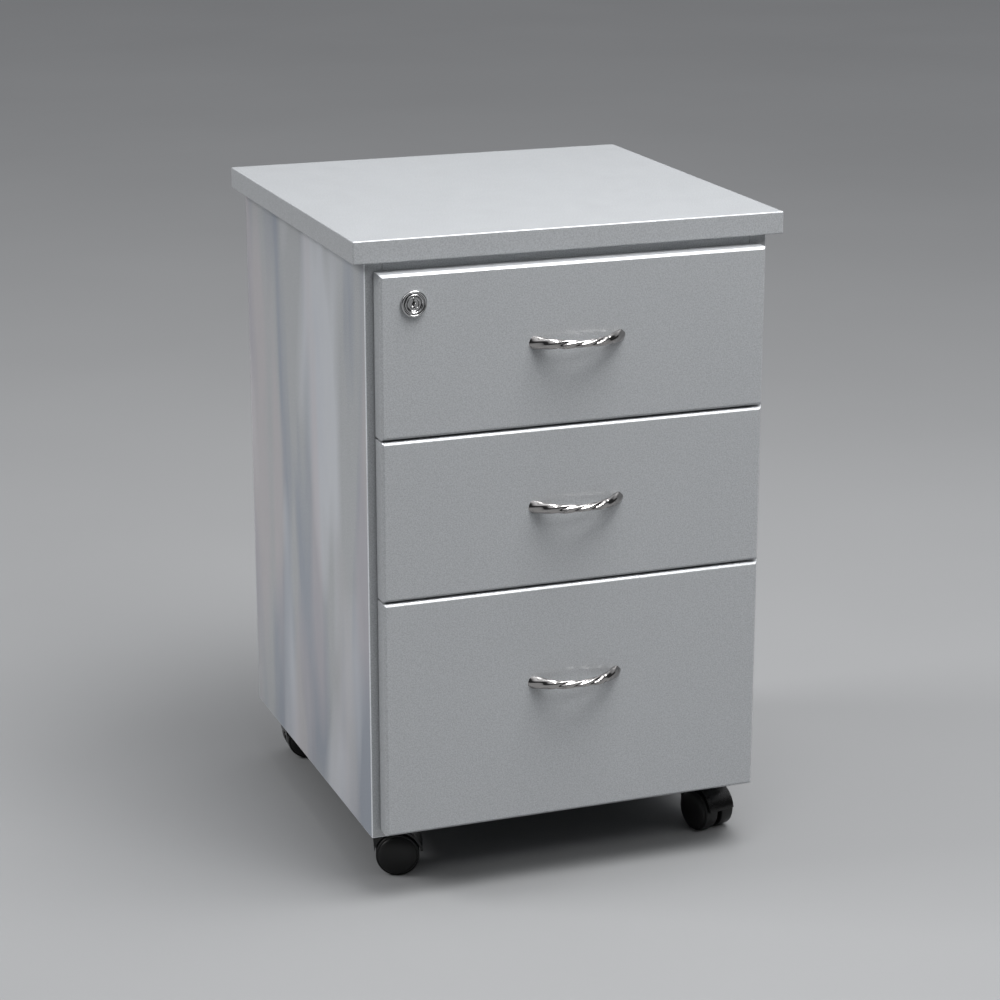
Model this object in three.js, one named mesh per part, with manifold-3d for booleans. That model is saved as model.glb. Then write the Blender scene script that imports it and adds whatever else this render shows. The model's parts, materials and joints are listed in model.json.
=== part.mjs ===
// A rolling pedestal cabinet: a board carcass on four twin-wheel casters, with three drawers on
// telescopic slides, bow handles, and a lock whose cam lifts a bar that holds all the drawers shut.
// Millimetres, +Z up, drawers facing -Y, origin on the floor at the centre of the whole object.
// While it is laid out, y = 0 is the front edge of the top board; one group moves it all at the end.
import * as THREE from "three";
import { mergeVertices } from "three/addons/utils/BufferGeometryUtils.js";
import Module from "manifold-3d";

const wasm = await Module();
wasm.setup();

// Outside of the cabinet
const TOTAL_HEIGHT = 600;
const TOP_WIDTH = 397;
const TOP_DEPTH = 390.5;
const TOP_THICKNESS = 20;
const CARCASS_BOTTOM = 57;
const SIDE_OVERHANG = 12.5;
const FRONT_SETBACK = 9.5;
const BACK_OVERHANG = 4.5;
const BOARD = 16;
const FRONT_RAIL_DEPTH = 60;
const GROOVE = { front: 4.5, width: 16, depth: 5 };

// Drawer fronts, from the top one down, and the boxes behind them
const FRONT_WIDTH = 356.5;
const FRONT_THICKNESS = 18;
const FRONT_ROUNDING = 2.2;
const FRONT_GAP = 1.8;
const FRONT_TO_CARCASS = 0.5;
const GAP_UNDER_TOP = 8.5;
const DRAWERS = [
  { name: "top", frontHeight: 143.2, boxHeight: 92 },
  { name: "middle", frontHeight: 143.2, boxHeight: 92 },
  { name: "bottom", frontHeight: 217, boxHeight: 167 },
];
const BOX_RISE = 12;
const BOX_DEPTH = 350;
const BOX_BOARD = 12;
const BOX_BOTTOM_RISE = 6;
const BOX_BOTTOM_THICKNESS = 5;

// Telescopic slides: an outer channel on the cabinet, an inner one on the drawer
const SLIDE_SPACE = 13;
const OUTER_SLIDE = { height: 35, depth: 9.5, length: 350, front: 2.5 };
const INNER_SLIDE = { height: 29, depth: 9, length: 336, front: 10 };
const SLIDE_SHEET = 1.25;

// Bow handle, and how far its centre lies above the middle of each drawer front
const HANDLE_LENGTH = 89;
const HANDLE_BOW = 18;
const HANDLE_PROJECTION = 21;
const HANDLE_FOOT = { up: 5.75, out: 4.25 };
const HANDLE_MIDDLE = { up: 2.75, out: 3 };
const HANDLE_RISE = { top: 3.1, middle: 1.1, bottom: 20 };

// Lock in the top drawer front, and the bar that it lifts
const LOCK = { x: -148.5, belowFrontTop: 25.75, flange: 11.5, proud: 3, barrel: 9, behind: 3 };
const PLUG = { radius: 6.5, recess: 1, tail: 3.5, tailLength: 4 };
const KEY_SLOT = { width: 1.6, height: 8, depth: 6 };
const CAM = { throw: 7, thickness: 2.5, halfWidth: 5.5, pinRadius: 2, pinLength: 5 };
const BAR = { thickness: 4, width: 15.5, lift: 10 };
const BAR_FINGER = { reach: 21, thickness: 3, depth: 3.5, aboveCamPin: 0.5 };
const BAR_PIN = { reach: 8.5, height: 3, depth: 4 };
const CATCH = { reach: 8, height: 8.4, thickness: 3, overBarPin: 6.1, behindBarPin: 1.25, root: 15 };

// Casters: place of the kingpins, and which way each one trails at rest, in degrees from +X
const CASTER_INSET = { side: 28, front: 55.5, back: 20 };
const CASTERS = [
  { name: "front_left", side: -1, end: "front", trails: -18 },
  { name: "front_right", side: 1, end: "front", trails: -75 },
  { name: "back_left", side: -1, end: "back", trails: -4 },
  { name: "back_right", side: 1, end: "back", trails: -50 },
];
const WHEEL = { radius: 20, inner: 2.6, treadEnd: 15.5, domeEnd: 20.5, shoulder: 18.4 };
const TRAIL = 13;
const AXLE = { radius: 3, halfLength: 15 };
const HOOD = { clearance: 1.2, wall: 2.2, halfWidth: 14.25, web: 2, lipAngle: 8, corner: 4 };
const CASTER_PLATE = { radius: 18, thickness: 2.5, pinRadius: 3.5, pinLength: 14.5 };

const RUNNING_GAP = 0.1;
const PART_GAP = 0.3;
const ROUND_STEPS = 32;

// Places worked out from the sizes above
const topUnderside = TOTAL_HEIGHT - TOP_THICKNESS;
const carcassHalf = TOP_WIDTH / 2 - SIDE_OVERHANG;
const innerHalf = carcassHalf - BOARD;
const carcassFront = FRONT_SETBACK;
const carcassBack = TOP_DEPTH - BACK_OVERHANG;
const frontBack = carcassFront - FRONT_TO_CARCASS;
const frontFace = frontBack - FRONT_THICKNESS;
const boxHalf = innerHalf - SLIDE_SPACE;
const cabinetFrontmost = frontFace - HANDLE_PROJECTION;
const middleOfDepth = (TOP_DEPTH + cabinetFrontmost) / 2;

const LOOKS = {
  board: { color: 0xa9adb1, roughness: 0.45, metalness: 0.1 },
  drawerBox: { color: 0xb9bcbf, roughness: 0.6, metalness: 0 },
  slide: { color: 0xb4b7ba, roughness: 0.35, metalness: 0.9 },
  chrome: { color: 0xe2e4e6, roughness: 0.08, metalness: 1 },
  steel: { color: 0x9a9da1, roughness: 0.4, metalness: 0.9 },
  plastic: { color: 0x141516, roughness: 0.4, metalness: 0 },
};

function addPiece(parent, name, geometry, look) {
  const mesh = new THREE.Mesh(geometry, new THREE.MeshStandardMaterial(LOOKS[look]));
  mesh.name = name;
  parent.add(mesh);
  return mesh;
}

// A flat board between two opposite corners.
function addBoard(parent, name, low, high, look) {
  const size = high.map((value, axis) => value - low[axis]);
  const board = addPiece(parent, name, new THREE.BoxGeometry(...size), look);
  board.position.set(...low.map((value, axis) => value + size[axis] / 2));
  return board;
}

function boxBetween(low, high) {
  const size = high.map((value, axis) => value - low[axis]);
  const box = new THREE.BoxGeometry(...size);
  return box.translate(...low.map((value, axis) => value + size[axis] / 2));
}

function solidOf(geometry) {
  const bare = new THREE.BufferGeometry();
  bare.setAttribute("position", geometry.getAttribute("position"));
  if (geometry.index) bare.setIndex(geometry.index);
  const merged = mergeVertices(bare, 1e-4);
  const mesh = new wasm.Mesh({
    numProp: 3,
    vertProperties: merged.attributes.position.array,
    triVerts: new Uint32Array(merged.index.array),
  });
  return new wasm.Manifold(mesh);
}

function geometryOf(solid) {
  const mesh = solid.getMesh();
  const geometry = new THREE.BufferGeometry();
  geometry.setAttribute("position", new THREE.BufferAttribute(mesh.vertProperties, 3));
  geometry.setIndex(new THREE.BufferAttribute(mesh.triVerts, 1));
  const faceted = geometry.toNonIndexed();
  faceted.computeVertexNormals();
  return faceted;
}

function joined(...geometries) {
  return geometryOf(geometries.map(solidOf).reduce((whole, piece) => whole.add(piece)));
}

function cutBy(geometry, ...tools) {
  return geometryOf(tools.map(solidOf).reduce((left, tool) => left.subtract(tool), solidOf(geometry)));
}

// A shape drawn in x and z, extruded along y from yStart.
function extrudedAlongY(shape, yStart, length, options = {}) {
  const geometry = new THREE.ExtrudeGeometry(shape, {
    depth: length,
    bevelEnabled: false,
    curveSegments: 10,
    ...options,
  });
  return geometry.rotateX(Math.PI / 2).translate(0, yStart + length, 0);
}

// A turned piece about the y axis, from [radius, y] points.
function turnedAboutY(points) {
  const profile = points.map(([radius, y]) => new THREE.Vector2(radius, y));
  return new THREE.LatheGeometry(profile, ROUND_STEPS);
}

function rodAlongY(radius, yStart, yEnd) {
  return turnedAboutY([[0, yStart], [radius, yStart], [radius, yEnd], [0, yEnd]]);
}

function outline(points) {
  return new THREE.Shape(points.map(([x, y]) => new THREE.Vector2(x, y)));
}

function buildCarcass(cabinet) {
  const { front, width, depth } = GROOVE;
  addBoard(
    cabinet,
    "top_board",
    [-TOP_WIDTH / 2, 0, topUnderside],
    [TOP_WIDTH / 2, TOP_DEPTH, TOTAL_HEIGHT],
    "board",
  );
  addBoard(
    cabinet,
    "side_panel_right",
    [innerHalf, carcassFront, CARCASS_BOTTOM],
    [carcassHalf, carcassBack, topUnderside],
    "board",
  );
  // The left panel has an upright groove on its inner face for the lock bar.
  const grooveFront = carcassFront + front;
  const plan = outline([
    [-carcassHalf, carcassFront],
    [-innerHalf, carcassFront],
    [-innerHalf, grooveFront],
    [-innerHalf - depth, grooveFront],
    [-innerHalf - depth, grooveFront + width],
    [-innerHalf, grooveFront + width],
    [-innerHalf, carcassBack],
    [-carcassHalf, carcassBack],
  ]);
  const panel = new THREE.ExtrudeGeometry(plan, {
    depth: topUnderside - CARCASS_BOTTOM,
    bevelEnabled: false,
  });
  addPiece(cabinet, "side_panel_left", panel, "board").position.z = CARCASS_BOTTOM;
  addBoard(
    cabinet,
    "back_panel",
    [-innerHalf, carcassBack - BOARD, CARCASS_BOTTOM],
    [innerHalf, carcassBack, topUnderside],
    "board",
  );
  addBoard(
    cabinet,
    "bottom_board",
    [-innerHalf, carcassFront, CARCASS_BOTTOM],
    [innerHalf, carcassBack - BOARD, CARCASS_BOTTOM + BOARD],
    "board",
  );
  addBoard(
    cabinet,
    "front_rail",
    [-innerHalf, carcassFront, topUnderside - BOARD],
    [innerHalf, carcassFront + FRONT_RAIL_DEPTH, topUnderside],
    "board",
  );
}

// A drawer front: a board whose front edges are rounded and whose back edges are square.
function drawerFrontGeometry(height) {
  const halfWidth = FRONT_WIDTH / 2 - FRONT_ROUNDING;
  const halfHeight = height / 2 - FRONT_ROUNDING;
  const core = outline([
    [-halfWidth, -halfHeight],
    [halfWidth, -halfHeight],
    [halfWidth, halfHeight],
    [-halfWidth, halfHeight],
  ]);
  const slab = extrudedAlongY(core, 0, FRONT_THICKNESS, {
    bevelEnabled: true,
    bevelThickness: FRONT_ROUNDING,
    bevelSize: FRONT_ROUNDING,
    bevelSegments: 3,
  });
  slab.translate(0, FRONT_ROUNDING, 0);
  const behind = boxBetween(
    [-FRONT_WIDTH, FRONT_THICKNESS, -height],
    [FRONT_WIDTH, 3 * FRONT_THICKNESS, height],
  );
  return cutBy(slab, behind);
}

// A slide channel's section: its web stands at x = 0 and it is open towards +X.
function channelSection({ height, depth }) {
  const sheet = SLIDE_SHEET;
  return outline([
    [0, -height / 2],
    [depth, -height / 2],
    [depth, -height / 2 + sheet],
    [sheet, -height / 2 + sheet],
    [sheet, height / 2 - sheet],
    [depth, height / 2 - sheet],
    [depth, height / 2],
    [0, height / 2],
  ]);
}

function channel(slide) {
  return extrudedAlongY(channelSection(slide), carcassFront + slide.front, slide.length);
}

// Where the lock bar's pins and the drawers' catches lie, measured from the middle of a slide.
const barFront = carcassFront + GROOVE.front + (GROOVE.width - BAR.width) / 2;
const barPinBottom = OUTER_SLIDE.height / 2 + 0.5;
const catchFront = barFront + BAR_PIN.depth + CATCH.behindBarPin;
const catchBottom = barPinBottom + BAR_PIN.height + CATCH.overBarPin;
const catchTop = catchBottom + CATCH.height;

// The left inner channel carries a bent tab that the lock bar's pin rises in front of.
function channelWithCatch() {
  const root = boxBetween(
    [0, catchFront, INNER_SLIDE.height / 2 - SLIDE_SHEET],
    [SLIDE_SHEET, catchFront + CATCH.root, catchTop],
  );
  const tab = boxBetween(
    [0, catchFront, catchBottom],
    [CATCH.reach, catchFront + CATCH.thickness, catchTop],
  );
  return joined(channel(INNER_SLIDE), root, tab);
}

function addSlides(cabinet, drawer, name, slideZ) {
  const sides = [
    { side: "left", sign: -1, inner: channelWithCatch() },
    { side: "right", sign: 1, inner: channel(INNER_SLIDE) },
  ];
  for (const { side, sign, inner } of sides) {
    const onCabinet = addPiece(cabinet, `${name}_cabinet_slide_${side}`, channel(OUTER_SLIDE), "slide");
    onCabinet.position.set(sign * innerHalf, 0, slideZ);
    onCabinet.scale.x = -sign;
    const onDrawer = addPiece(drawer, `${name}_drawer_slide_${side}`, inner, "slide");
    onDrawer.position.set(sign * boxHalf, 0, slideZ);
    onDrawer.scale.x = sign;
  }
}

// A bow handle lofted along an arc in plan, thick at its feet, then cut flat where it meets the
// drawer front. Its own origin is the middle of its feet.
function handleGeometry() {
  const rings = 25;
  const sides = 16;
  const overrun = 1.12;
  const footHalfSpan = HANDLE_LENGTH / 2 - 1.3 * HANDLE_FOOT.out;
  const arcRadius = (footHalfSpan ** 2 + HANDLE_BOW ** 2) / (2 * HANDLE_BOW);
  const footAngle = Math.asin(footHalfSpan / arcRadius);
  const positions = [];
  for (let ring = 0; ring < rings; ring++) {
    const along = overrun * ((2 * ring) / (rings - 1) - 1);
    const angle = along * footAngle;
    const taper = Math.abs(along) ** 1.3;
    const up = THREE.MathUtils.lerp(HANDLE_MIDDLE.up, HANDLE_FOOT.up, taper);
    const out = THREE.MathUtils.lerp(HANDLE_MIDDLE.out, HANDLE_FOOT.out, taper);
    for (let side = 0; side < sides; side++) {
      const round = (2 * Math.PI * side) / sides;
      const radius = arcRadius + out * Math.cos(round);
      positions.push(
        radius * Math.sin(angle),
        arcRadius - HANDLE_BOW - radius * Math.cos(angle),
        up * Math.sin(round),
      );
    }
  }
  const triangles = [];
  for (let ring = 0; ring < rings - 1; ring++) {
    for (let side = 0; side < sides; side++) {
      const next = (side + 1) % sides;
      const here = ring * sides;
      const beyond = here + sides;
      triangles.push(here + side, beyond + side, beyond + next);
      triangles.push(here + side, beyond + next, here + next);
    }
  }
  const lastRing = (rings - 1) * sides;
  for (let side = 1; side < sides - 1; side++) {
    triangles.push(0, side, side + 1);
    triangles.push(lastRing, lastRing + side + 1, lastRing + side);
  }
  const bow = new THREE.BufferGeometry();
  bow.setAttribute("position", new THREE.Float32BufferAttribute(positions, 3));
  bow.setIndex(triangles);
  const drawerSide = boxBetween(
    [-HANDLE_LENGTH, 0, -HANDLE_LENGTH],
    [HANDLE_LENGTH, HANDLE_LENGTH, HANDLE_LENGTH],
  );
  return cutBy(bow, drawerSide);
}

function addDrawerBox(drawer, name, bottom, height) {
  const back = frontBack + BOX_DEPTH;
  const inside = boxHalf - BOX_BOARD;
  const top = bottom + height;
  const floorBottom = bottom + BOX_BOTTOM_RISE;
  const floorTop = floorBottom + BOX_BOTTOM_THICKNESS;
  const boards = [
    ["side_left", [-boxHalf, frontBack, bottom], [-inside, back, top]],
    ["side_right", [inside, frontBack, bottom], [boxHalf, back, top]],
    ["back", [-inside, back - BOX_BOARD, bottom], [inside, back, top]],
    ["bottom", [-inside, frontBack, floorBottom], [inside, back - BOX_BOARD, floorTop]],
  ];
  for (const [piece, low, high] of boards) {
    addBoard(drawer, `${name}_drawer_${piece}`, low, high, "drawerBox");
  }
}

function buildDrawers(cabinet) {
  const slideHeights = [];
  let frontTop = topUnderside - GAP_UNDER_TOP;
  for (const { name, frontHeight, boxHeight } of DRAWERS) {
    const drawer = new THREE.Group();
    cabinet.add(drawer);
    const frontMiddle = frontTop - frontHeight / 2;
    const boxBottom = frontTop - frontHeight + BOX_RISE;
    const slideZ = boxBottom + boxHeight / 2;
    const isTop = slideHeights.length === 0;
    const plain = drawerFrontGeometry(frontHeight);
    const lockHole = rodAlongY(LOCK.barrel + PART_GAP, -FRONT_THICKNESS, 2 * FRONT_THICKNESS);
    lockHole.translate(LOCK.x, 0, frontHeight / 2 - LOCK.belowFrontTop);
    const geometry = isTop ? cutBy(plain, lockHole) : plain;
    const front = addPiece(drawer, `${name}_drawer_front`, geometry, "board");
    front.position.set(0, frontFace, frontMiddle);
    addDrawerBox(drawer, name, boxBottom, boxHeight);
    addSlides(cabinet, drawer, name, slideZ);
    const handle = addPiece(drawer, `${name}_drawer_handle`, handleGeometry(), "chrome");
    handle.position.set(0, frontFace, frontMiddle + HANDLE_RISE[name]);
    if (isTop) buildLock(drawer, frontTop - LOCK.belowFrontTop);
    slideHeights.push(slideZ);
    frontTop -= frontHeight + FRONT_GAP;
  }
  return slideHeights;
}

// The lock's own origin is on its axis at the face of the drawer front.
function buildLock(drawer, height) {
  const lock = new THREE.Group();
  lock.position.set(LOCK.x, frontFace, height);
  drawer.add(lock);
  const { flange, proud, barrel, behind } = LOCK;
  const bore = PLUG.radius + RUNNING_GAP;
  const edge = 1.2;
  const housingBack = FRONT_THICKNESS + behind;
  const housing = turnedAboutY([
    [bore, housingBack],
    [bore, edge / 2 - proud],
    [bore + edge / 2, -proud],
    [flange - edge, -proud],
    [flange, edge - proud],
    [flange, 0],
    [barrel, 0],
    [barrel, housingBack],
    [bore, housingBack],
  ]);
  addPiece(lock, "lock_housing", housing, "chrome");

  const plugFront = PLUG.recess - proud;
  const plugBack = housingBack + PART_GAP;
  const plug = turnedAboutY([
    [0, plugFront],
    [PLUG.radius, plugFront],
    [PLUG.radius, plugBack],
    [PLUG.tail, plugBack],
    [PLUG.tail, plugBack + PLUG.tailLength],
    [0, plugBack + PLUG.tailLength],
  ]);
  const slot = boxBetween(
    [-KEY_SLOT.width / 2, plugFront - KEY_SLOT.depth, -KEY_SLOT.height / 2],
    [KEY_SLOT.width / 2, plugFront + KEY_SLOT.depth, KEY_SLOT.height / 2],
  );
  addPiece(lock, "lock_plug", cutBy(plug, slot), "chrome");

  const camStart = plugBack + PART_GAP;
  const camEnd = camStart + CAM.thickness;
  const arm = new THREE.Shape();
  arm.absarc(0, 0, CAM.halfWidth, Math.PI / 2, (3 * Math.PI) / 2);
  arm.absarc(CAM.throw, 0, CAM.halfWidth - CAM.pinRadius, -Math.PI / 2, Math.PI / 2);
  const hole = new THREE.Path();
  hole.absarc(0, 0, PLUG.tail + PART_GAP, 0, 2 * Math.PI);
  arm.holes.push(hole);
  const pin = rodAlongY(CAM.pinRadius, camEnd - CAM.thickness / 2, camEnd + CAM.pinLength);
  pin.translate(CAM.throw, 0, 0);
  const cam = joined(extrudedAlongY(arm, camStart, CAM.thickness), pin);
  // Unlocked, the cam points down and to the left: an eighth of a turn below level.
  addPiece(lock, "lock_cam", cam, "steel").rotation.y = (3 * Math.PI) / 4;
}

// An upright bar in the left panel's groove: a finger over the cam's pin, and a pin per drawer.
function buildLockBar(cabinet, slideHeights) {
  const inner = -innerHalf - (GROOVE.depth - BAR.thickness) / 2;
  const outer = inner - BAR.thickness;
  const lockHeight = topUnderside - GAP_UNDER_TOP - LOCK.belowFrontTop;
  const camPinTop = lockHeight - CAM.throw * Math.SQRT1_2 + CAM.pinRadius;
  const fingerBottom = camPinTop + BAR_FINGER.aboveCamPin;
  const fingerTop = fingerBottom + BAR_FINGER.thickness;
  const camPinEnd =
    frontBack + LOCK.behind + 2 * PART_GAP + CAM.thickness + CAM.pinLength;
  const lowestPin = Math.min(...slideHeights) + barPinBottom;
  const strip = boxBetween(
    [outer, barFront, lowestPin - 2 * BAR.width],
    [inner, barFront + BAR.width, fingerTop],
  );
  const finger = boxBetween(
    [outer, camPinEnd - BAR_FINGER.depth, fingerBottom],
    [inner + BAR_FINGER.reach, camPinEnd, fingerTop],
  );
  const pins = slideHeights.map((slideZ) =>
    boxBetween(
      [outer, barFront, slideZ + barPinBottom],
      [inner + BAR_PIN.reach, barFront + BAR_PIN.depth, slideZ + barPinBottom + BAR_PIN.height],
    ),
  );
  addPiece(cabinet, "lock_bar", joined(strip, finger, ...pins), "steel");
}

// The hood's section across the axle, drawn about the axle: a fender over the wheels that
// thickens into a square corner which holds the kingpin.
function hoodSection() {
  const inside = WHEEL.radius + HOOD.clearance;
  const outside = inside + HOOD.wall;
  const lip = THREE.MathUtils.degToRad(HOOD.lipAngle);
  const shoulder = THREE.MathUtils.degToRad(76);
  const top = CARCASS_BOTTOM - CASTER_PLATE.thickness - 2 * PART_GAP - WHEEL.radius;
  const section = new THREE.Shape();
  section.moveTo(-outside, inside * Math.sin(lip));
  section.absarc(0, 0, inside, Math.PI - lip, lip, true);
  section.absarc(0, 0, outside, lip, shoulder);
  section.lineTo(CASTER_PLATE.radius / 2 - TRAIL, top);
  section.lineTo(-outside + HOOD.corner, top);
  section.absarc(-outside + HOOD.corner, top - HOOD.corner, HOOD.corner, Math.PI / 2, Math.PI);
  return section;
}

// The plate that hangs from the fender between the wheels and holds the axle.
function hoodWebSection() {
  const reach = WHEEL.radius + HOOD.clearance + HOOD.wall / 2;
  const lip = THREE.MathUtils.degToRad(HOOD.lipAngle);
  const section = new THREE.Shape();
  section.absarc(0, 0, reach, lip, Math.PI - lip);
  section.absarc(0, 0, 2.2 * AXLE.radius, Math.PI, 2 * Math.PI);
  return section;
}

function hoodGeometry() {
  const fender = extrudedAlongY(hoodSection(), -HOOD.halfWidth, 2 * HOOD.halfWidth);
  const web = extrudedAlongY(hoodWebSection(), -HOOD.web, 2 * HOOD.web);
  const axleBore = rodAlongY(AXLE.radius + RUNNING_GAP, -HOOD.halfWidth, HOOD.halfWidth);
  const socketDepth = CASTER_PLATE.pinLength + PART_GAP;
  const socket = rodAlongY(CASTER_PLATE.pinRadius + RUNNING_GAP, -socketDepth, socketDepth);
  socket.rotateX(Math.PI / 2);
  socket.translate(-TRAIL, 0, CARCASS_BOTTOM - CASTER_PLATE.thickness - WHEEL.radius);
  return cutBy(joined(fender, web), axleBore, socket);
}

// One wheel, drawn about its axle, on the +Y side of the hood's web.
function wheelGeometry() {
  const { radius, inner, treadEnd, domeEnd, shoulder } = WHEEL;
  const bore = AXLE.radius + RUNNING_GAP;
  const edge = 0.8;
  const domeSteps = 6;
  const dome = [];
  for (let step = 1; step < domeSteps; step++) {
    const angle = (step / domeSteps) * (Math.PI / 2);
    dome.push([
      shoulder * Math.cos(angle),
      treadEnd + (domeEnd - treadEnd) * Math.sin(angle),
    ]);
  }
  return turnedAboutY([
    [0, AXLE.halfLength + PART_GAP],
    [bore, AXLE.halfLength + PART_GAP],
    [bore, inner],
    [radius - edge, inner],
    [radius, inner + edge],
    [radius, treadEnd - edge],
    [shoulder, treadEnd],
    ...dome,
    [0, domeEnd],
  ]);
}

// The plate that is screwed under the cabinet, with the kingpin that stands down from it.
function casterPlateGeometry() {
  const { radius, thickness, pinRadius, pinLength } = CASTER_PLATE;
  const profile = [
    [0, -thickness - pinLength],
    [pinRadius, -thickness - pinLength],
    [pinRadius, -thickness],
    [radius, -thickness],
    [radius, 0],
    [0, 0],
  ];
  return turnedAboutY(profile).rotateX(Math.PI / 2);
}

function buildCasters(cabinet) {
  const kingpinY = {
    front: carcassFront + CASTER_INSET.front,
    back: carcassBack - CASTER_INSET.back,
  };
  for (const { name, side, end, trails } of CASTERS) {
    const caster = new THREE.Group();
    caster.position.set(side * (carcassHalf - CASTER_INSET.side), kingpinY[end], 0);
    caster.rotation.z = THREE.MathUtils.degToRad(trails);
    cabinet.add(caster);
    const plate = addPiece(caster, `${name}_caster_plate`, casterPlateGeometry(), "steel");
    plate.position.z = CARCASS_BOTTOM;
    const running = new THREE.Group();
    running.position.set(TRAIL, 0, WHEEL.radius);
    caster.add(running);
    addPiece(running, `${name}_caster_hood`, hoodGeometry(), "plastic");
    const axle = rodAlongY(AXLE.radius, -AXLE.halfLength, AXLE.halfLength);
    addPiece(running, `${name}_caster_axle`, axle, "steel");
    addPiece(running, `${name}_caster_wheel_a`, wheelGeometry(), "plastic");
    const opposite = addPiece(running, `${name}_caster_wheel_b`, wheelGeometry(), "plastic");
    opposite.rotation.z = Math.PI;
  }
}

const group = new THREE.Group();
const cabinet = new THREE.Group();
cabinet.position.y = -middleOfDepth;
group.add(cabinet);
buildCarcass(cabinet);
buildLockBar(cabinet, buildDrawers(cabinet));
buildCasters(cabinet);

export default group;
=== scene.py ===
import json
import math

import bmesh
import bpy
from mathutils import Matrix, Vector


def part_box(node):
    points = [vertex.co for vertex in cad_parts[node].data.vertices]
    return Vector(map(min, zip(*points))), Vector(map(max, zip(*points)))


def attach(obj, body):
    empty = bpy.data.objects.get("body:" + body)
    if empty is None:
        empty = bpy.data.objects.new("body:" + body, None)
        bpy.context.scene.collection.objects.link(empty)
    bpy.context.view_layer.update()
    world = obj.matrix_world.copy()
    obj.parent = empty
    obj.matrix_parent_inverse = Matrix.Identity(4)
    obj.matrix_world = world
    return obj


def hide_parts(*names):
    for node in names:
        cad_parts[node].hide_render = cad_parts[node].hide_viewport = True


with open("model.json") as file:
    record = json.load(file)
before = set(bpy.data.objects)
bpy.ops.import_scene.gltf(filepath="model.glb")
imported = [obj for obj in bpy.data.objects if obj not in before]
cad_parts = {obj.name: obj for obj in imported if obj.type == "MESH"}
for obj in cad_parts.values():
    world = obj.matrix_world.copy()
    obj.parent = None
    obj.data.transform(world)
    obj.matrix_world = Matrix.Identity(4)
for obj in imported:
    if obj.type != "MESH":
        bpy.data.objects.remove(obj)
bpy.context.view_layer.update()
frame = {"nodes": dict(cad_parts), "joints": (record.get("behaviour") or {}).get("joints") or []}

DRAWERS = ("top", "middle", "bottom")
SIDES = ("left", "right")
CASTERS = ("front_left", "front_right", "back_left", "back_right")
MM = 0.001


def corners(node):
    """The lowest and highest corner of a CAD node."""
    low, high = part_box(node)
    return Vector(low), Vector(high)


def middle(node):
    low, high = corners(node)
    return (low + high) / 2


JOINTS = {joint["name"]: joint for joint in frame["joints"]}


# ---------------------------------------------------------------- materials


MIX_COLOUR_INPUTS = (0, 6, 7)
MIX_COLOUR_OUTPUT = 2


class Finish:
    """A procedural material under construction: noise, ramps and bumps around one shader."""

    def __init__(self, name, **settings):
        self.material = bpy.data.materials.new(name)
        self.material.use_nodes = True
        self.tree = self.material.node_tree
        self.shader = self.tree.nodes["Principled BSDF"]
        for socket, value in settings.items():
            self.shader.inputs[socket.replace("_", " ")].default_value = value
        self.place = self.node("ShaderNodeTexCoord").outputs["Object"]

    def node(self, kind, settings=None, **inputs):
        made = self.tree.nodes.new(kind)
        for name, value in (settings or {}).items():
            setattr(made, name, value)
        for name, value in inputs.items():
            self.feed(made.inputs[name.replace("_", " ")], value)
        return made

    def feed(self, socket, value):
        if isinstance(value, bpy.types.NodeSocket):
            self.tree.links.new(value, socket)
        else:
            socket.default_value = value

    def stretched(self, stretch=(1, 1, 1), shift=(0, 0, 0), turn=(0, 0, 0)):
        made = self.node("ShaderNodeMapping", Vector=self.place)
        made.inputs["Scale"].default_value = stretch
        made.inputs["Location"].default_value = shift
        made.inputs["Rotation"].default_value = turn
        return made.outputs["Vector"]

    def noise(self, scale, detail=3.0, rough=0.5, warp=0.0, **spot):
        """Noise over the piece; spot holds stretched()'s stretch, shift and turn."""
        made = self.node(
            "ShaderNodeTexNoise",
            Vector=self.stretched(**spot),
            Scale=scale,
            Detail=detail,
            Roughness=rough,
            Distortion=warp,
        )
        return made.outputs["Fac"]

    def spread(self, factor, low, high, start=0.35, end=0.65):
        """factor, from start to end, spread over low to high."""
        made = self.node("ShaderNodeMapRange", Value=factor)
        made.inputs["From Min"].default_value = start
        made.inputs["From Max"].default_value = end
        made.inputs["To Min"].default_value = low
        made.inputs["To Max"].default_value = high
        return made.outputs["Result"]

    def total(self, one, other):
        made = self.node("ShaderNodeMath", {"operation": "ADD"})
        self.feed(made.inputs[0], one)
        self.feed(made.inputs[1], other)
        return made.outputs["Value"]

    def mixed(self, factor, one, other):
        """Colour one where factor is 0 and colour other where it is 1."""
        made = self.node("ShaderNodeMix", {"data_type": "RGBA"})
        for socket, value in zip(MIX_COLOUR_INPUTS, (factor, one, other)):
            self.feed(made.inputs[socket], value)
        return made.outputs[MIX_COLOUR_OUTPUT]

    def colour(self, value):
        self.feed(self.shader.inputs["Base Color"], value)

    def roughness(self, value):
        self.feed(self.shader.inputs["Roughness"], value)

    def bump(self, *layers):
        """layers are (height, strength, distance in metres), from the coarsest."""
        normal = None
        for height, strength, distance in layers:
            made = self.node("ShaderNodeBump", Height=height, Strength=strength, Distance=distance)
            if normal is not None:
                self.feed(made.inputs["Normal"], normal)
            normal = made.outputs["Normal"]
        self.feed(self.shader.inputs["Normal"], normal)


def grey(level, warm=0.0):
    """A grey of that level, warmer or, below 0, cooler by that share."""
    return (level * (1 + warm), level, level * (1 - warm), 1)


SILVER_COOL = -0.03
# Colours of painted reflections: soft smears of the surroundings mixed into the side panels' silver
PAINTED_REFLECTION_BLUE = (0.235, 0.27, 0.335, 1)
PAINTED_REFLECTION_PALE = (0.60, 0.62, 0.66, 1)
PAINTED_REFLECTION_BLUSH = (0.52, 0.455, 0.47, 1)


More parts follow.
